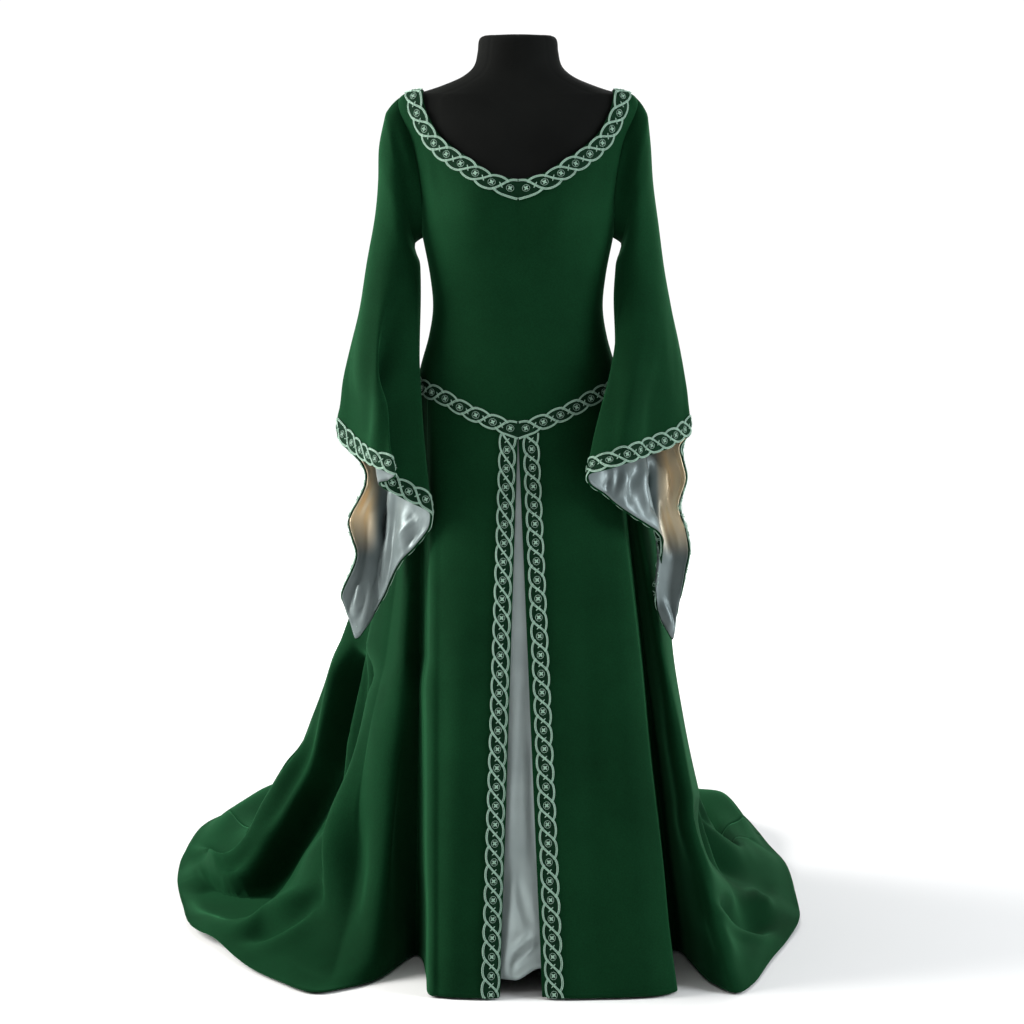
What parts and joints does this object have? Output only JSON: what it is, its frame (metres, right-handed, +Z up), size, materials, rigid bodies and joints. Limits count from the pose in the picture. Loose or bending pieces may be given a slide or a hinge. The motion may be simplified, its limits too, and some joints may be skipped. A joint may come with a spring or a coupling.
{
  "type": "medieval-style gown on a limbless dress form",
  "caption": "Floor-length scoop-neck gown with bell sleeves, satin lining and front panel, knot-pattern braid and a train, standing on a padded dress form without limbs.",
  "frame": {"origin": "middle of the underside of the stand's base, on the floor", "axes": "+Z up, the gown faces -Y, +X to the right as seen from the front"},
  "size_m": [1.066, 1.4622, 1.419],
  "materials": {
    "green_cloth": "matte dark green cloth with a soft nap",
    "silver_satin": "silver-grey satin",
    "knot_braid": "dark green braid with a raised pale green knot pattern",
    "form_jersey": "matte black jersey cover",
    "stand_steel": "black satin paint"
  },
  "bodies": {
    "root": {"bodice_front": "green_cloth", "bodice_back": "green_cloth", "sleeve_left": "green_cloth", "sleeve_right": "green_cloth", "skirt_front_left": "green_cloth", "skirt_front_right": "green_cloth", "skirt_side_left": "green_cloth", "skirt_side_right": "green_cloth", "skirt_back": "green_cloth", "underskirt_front": "silver_satin", "sleeve_lining_left": "silver_satin", "sleeve_lining_right": "silver_satin", "neckline_trim": "knot_braid", "girdle_trim": "knot_braid", "slit_trim_left": "knot_braid", "slit_trim_right": "knot_braid", "cuff_trim_left": "knot_braid", "cuff_trim_right": "knot_braid", "dress_form": "form_jersey", "stand_base": "stand_steel", "stand_collar": "stand_steel", "stand_pole": "stand_steel"}
  },
  "joints": []
}
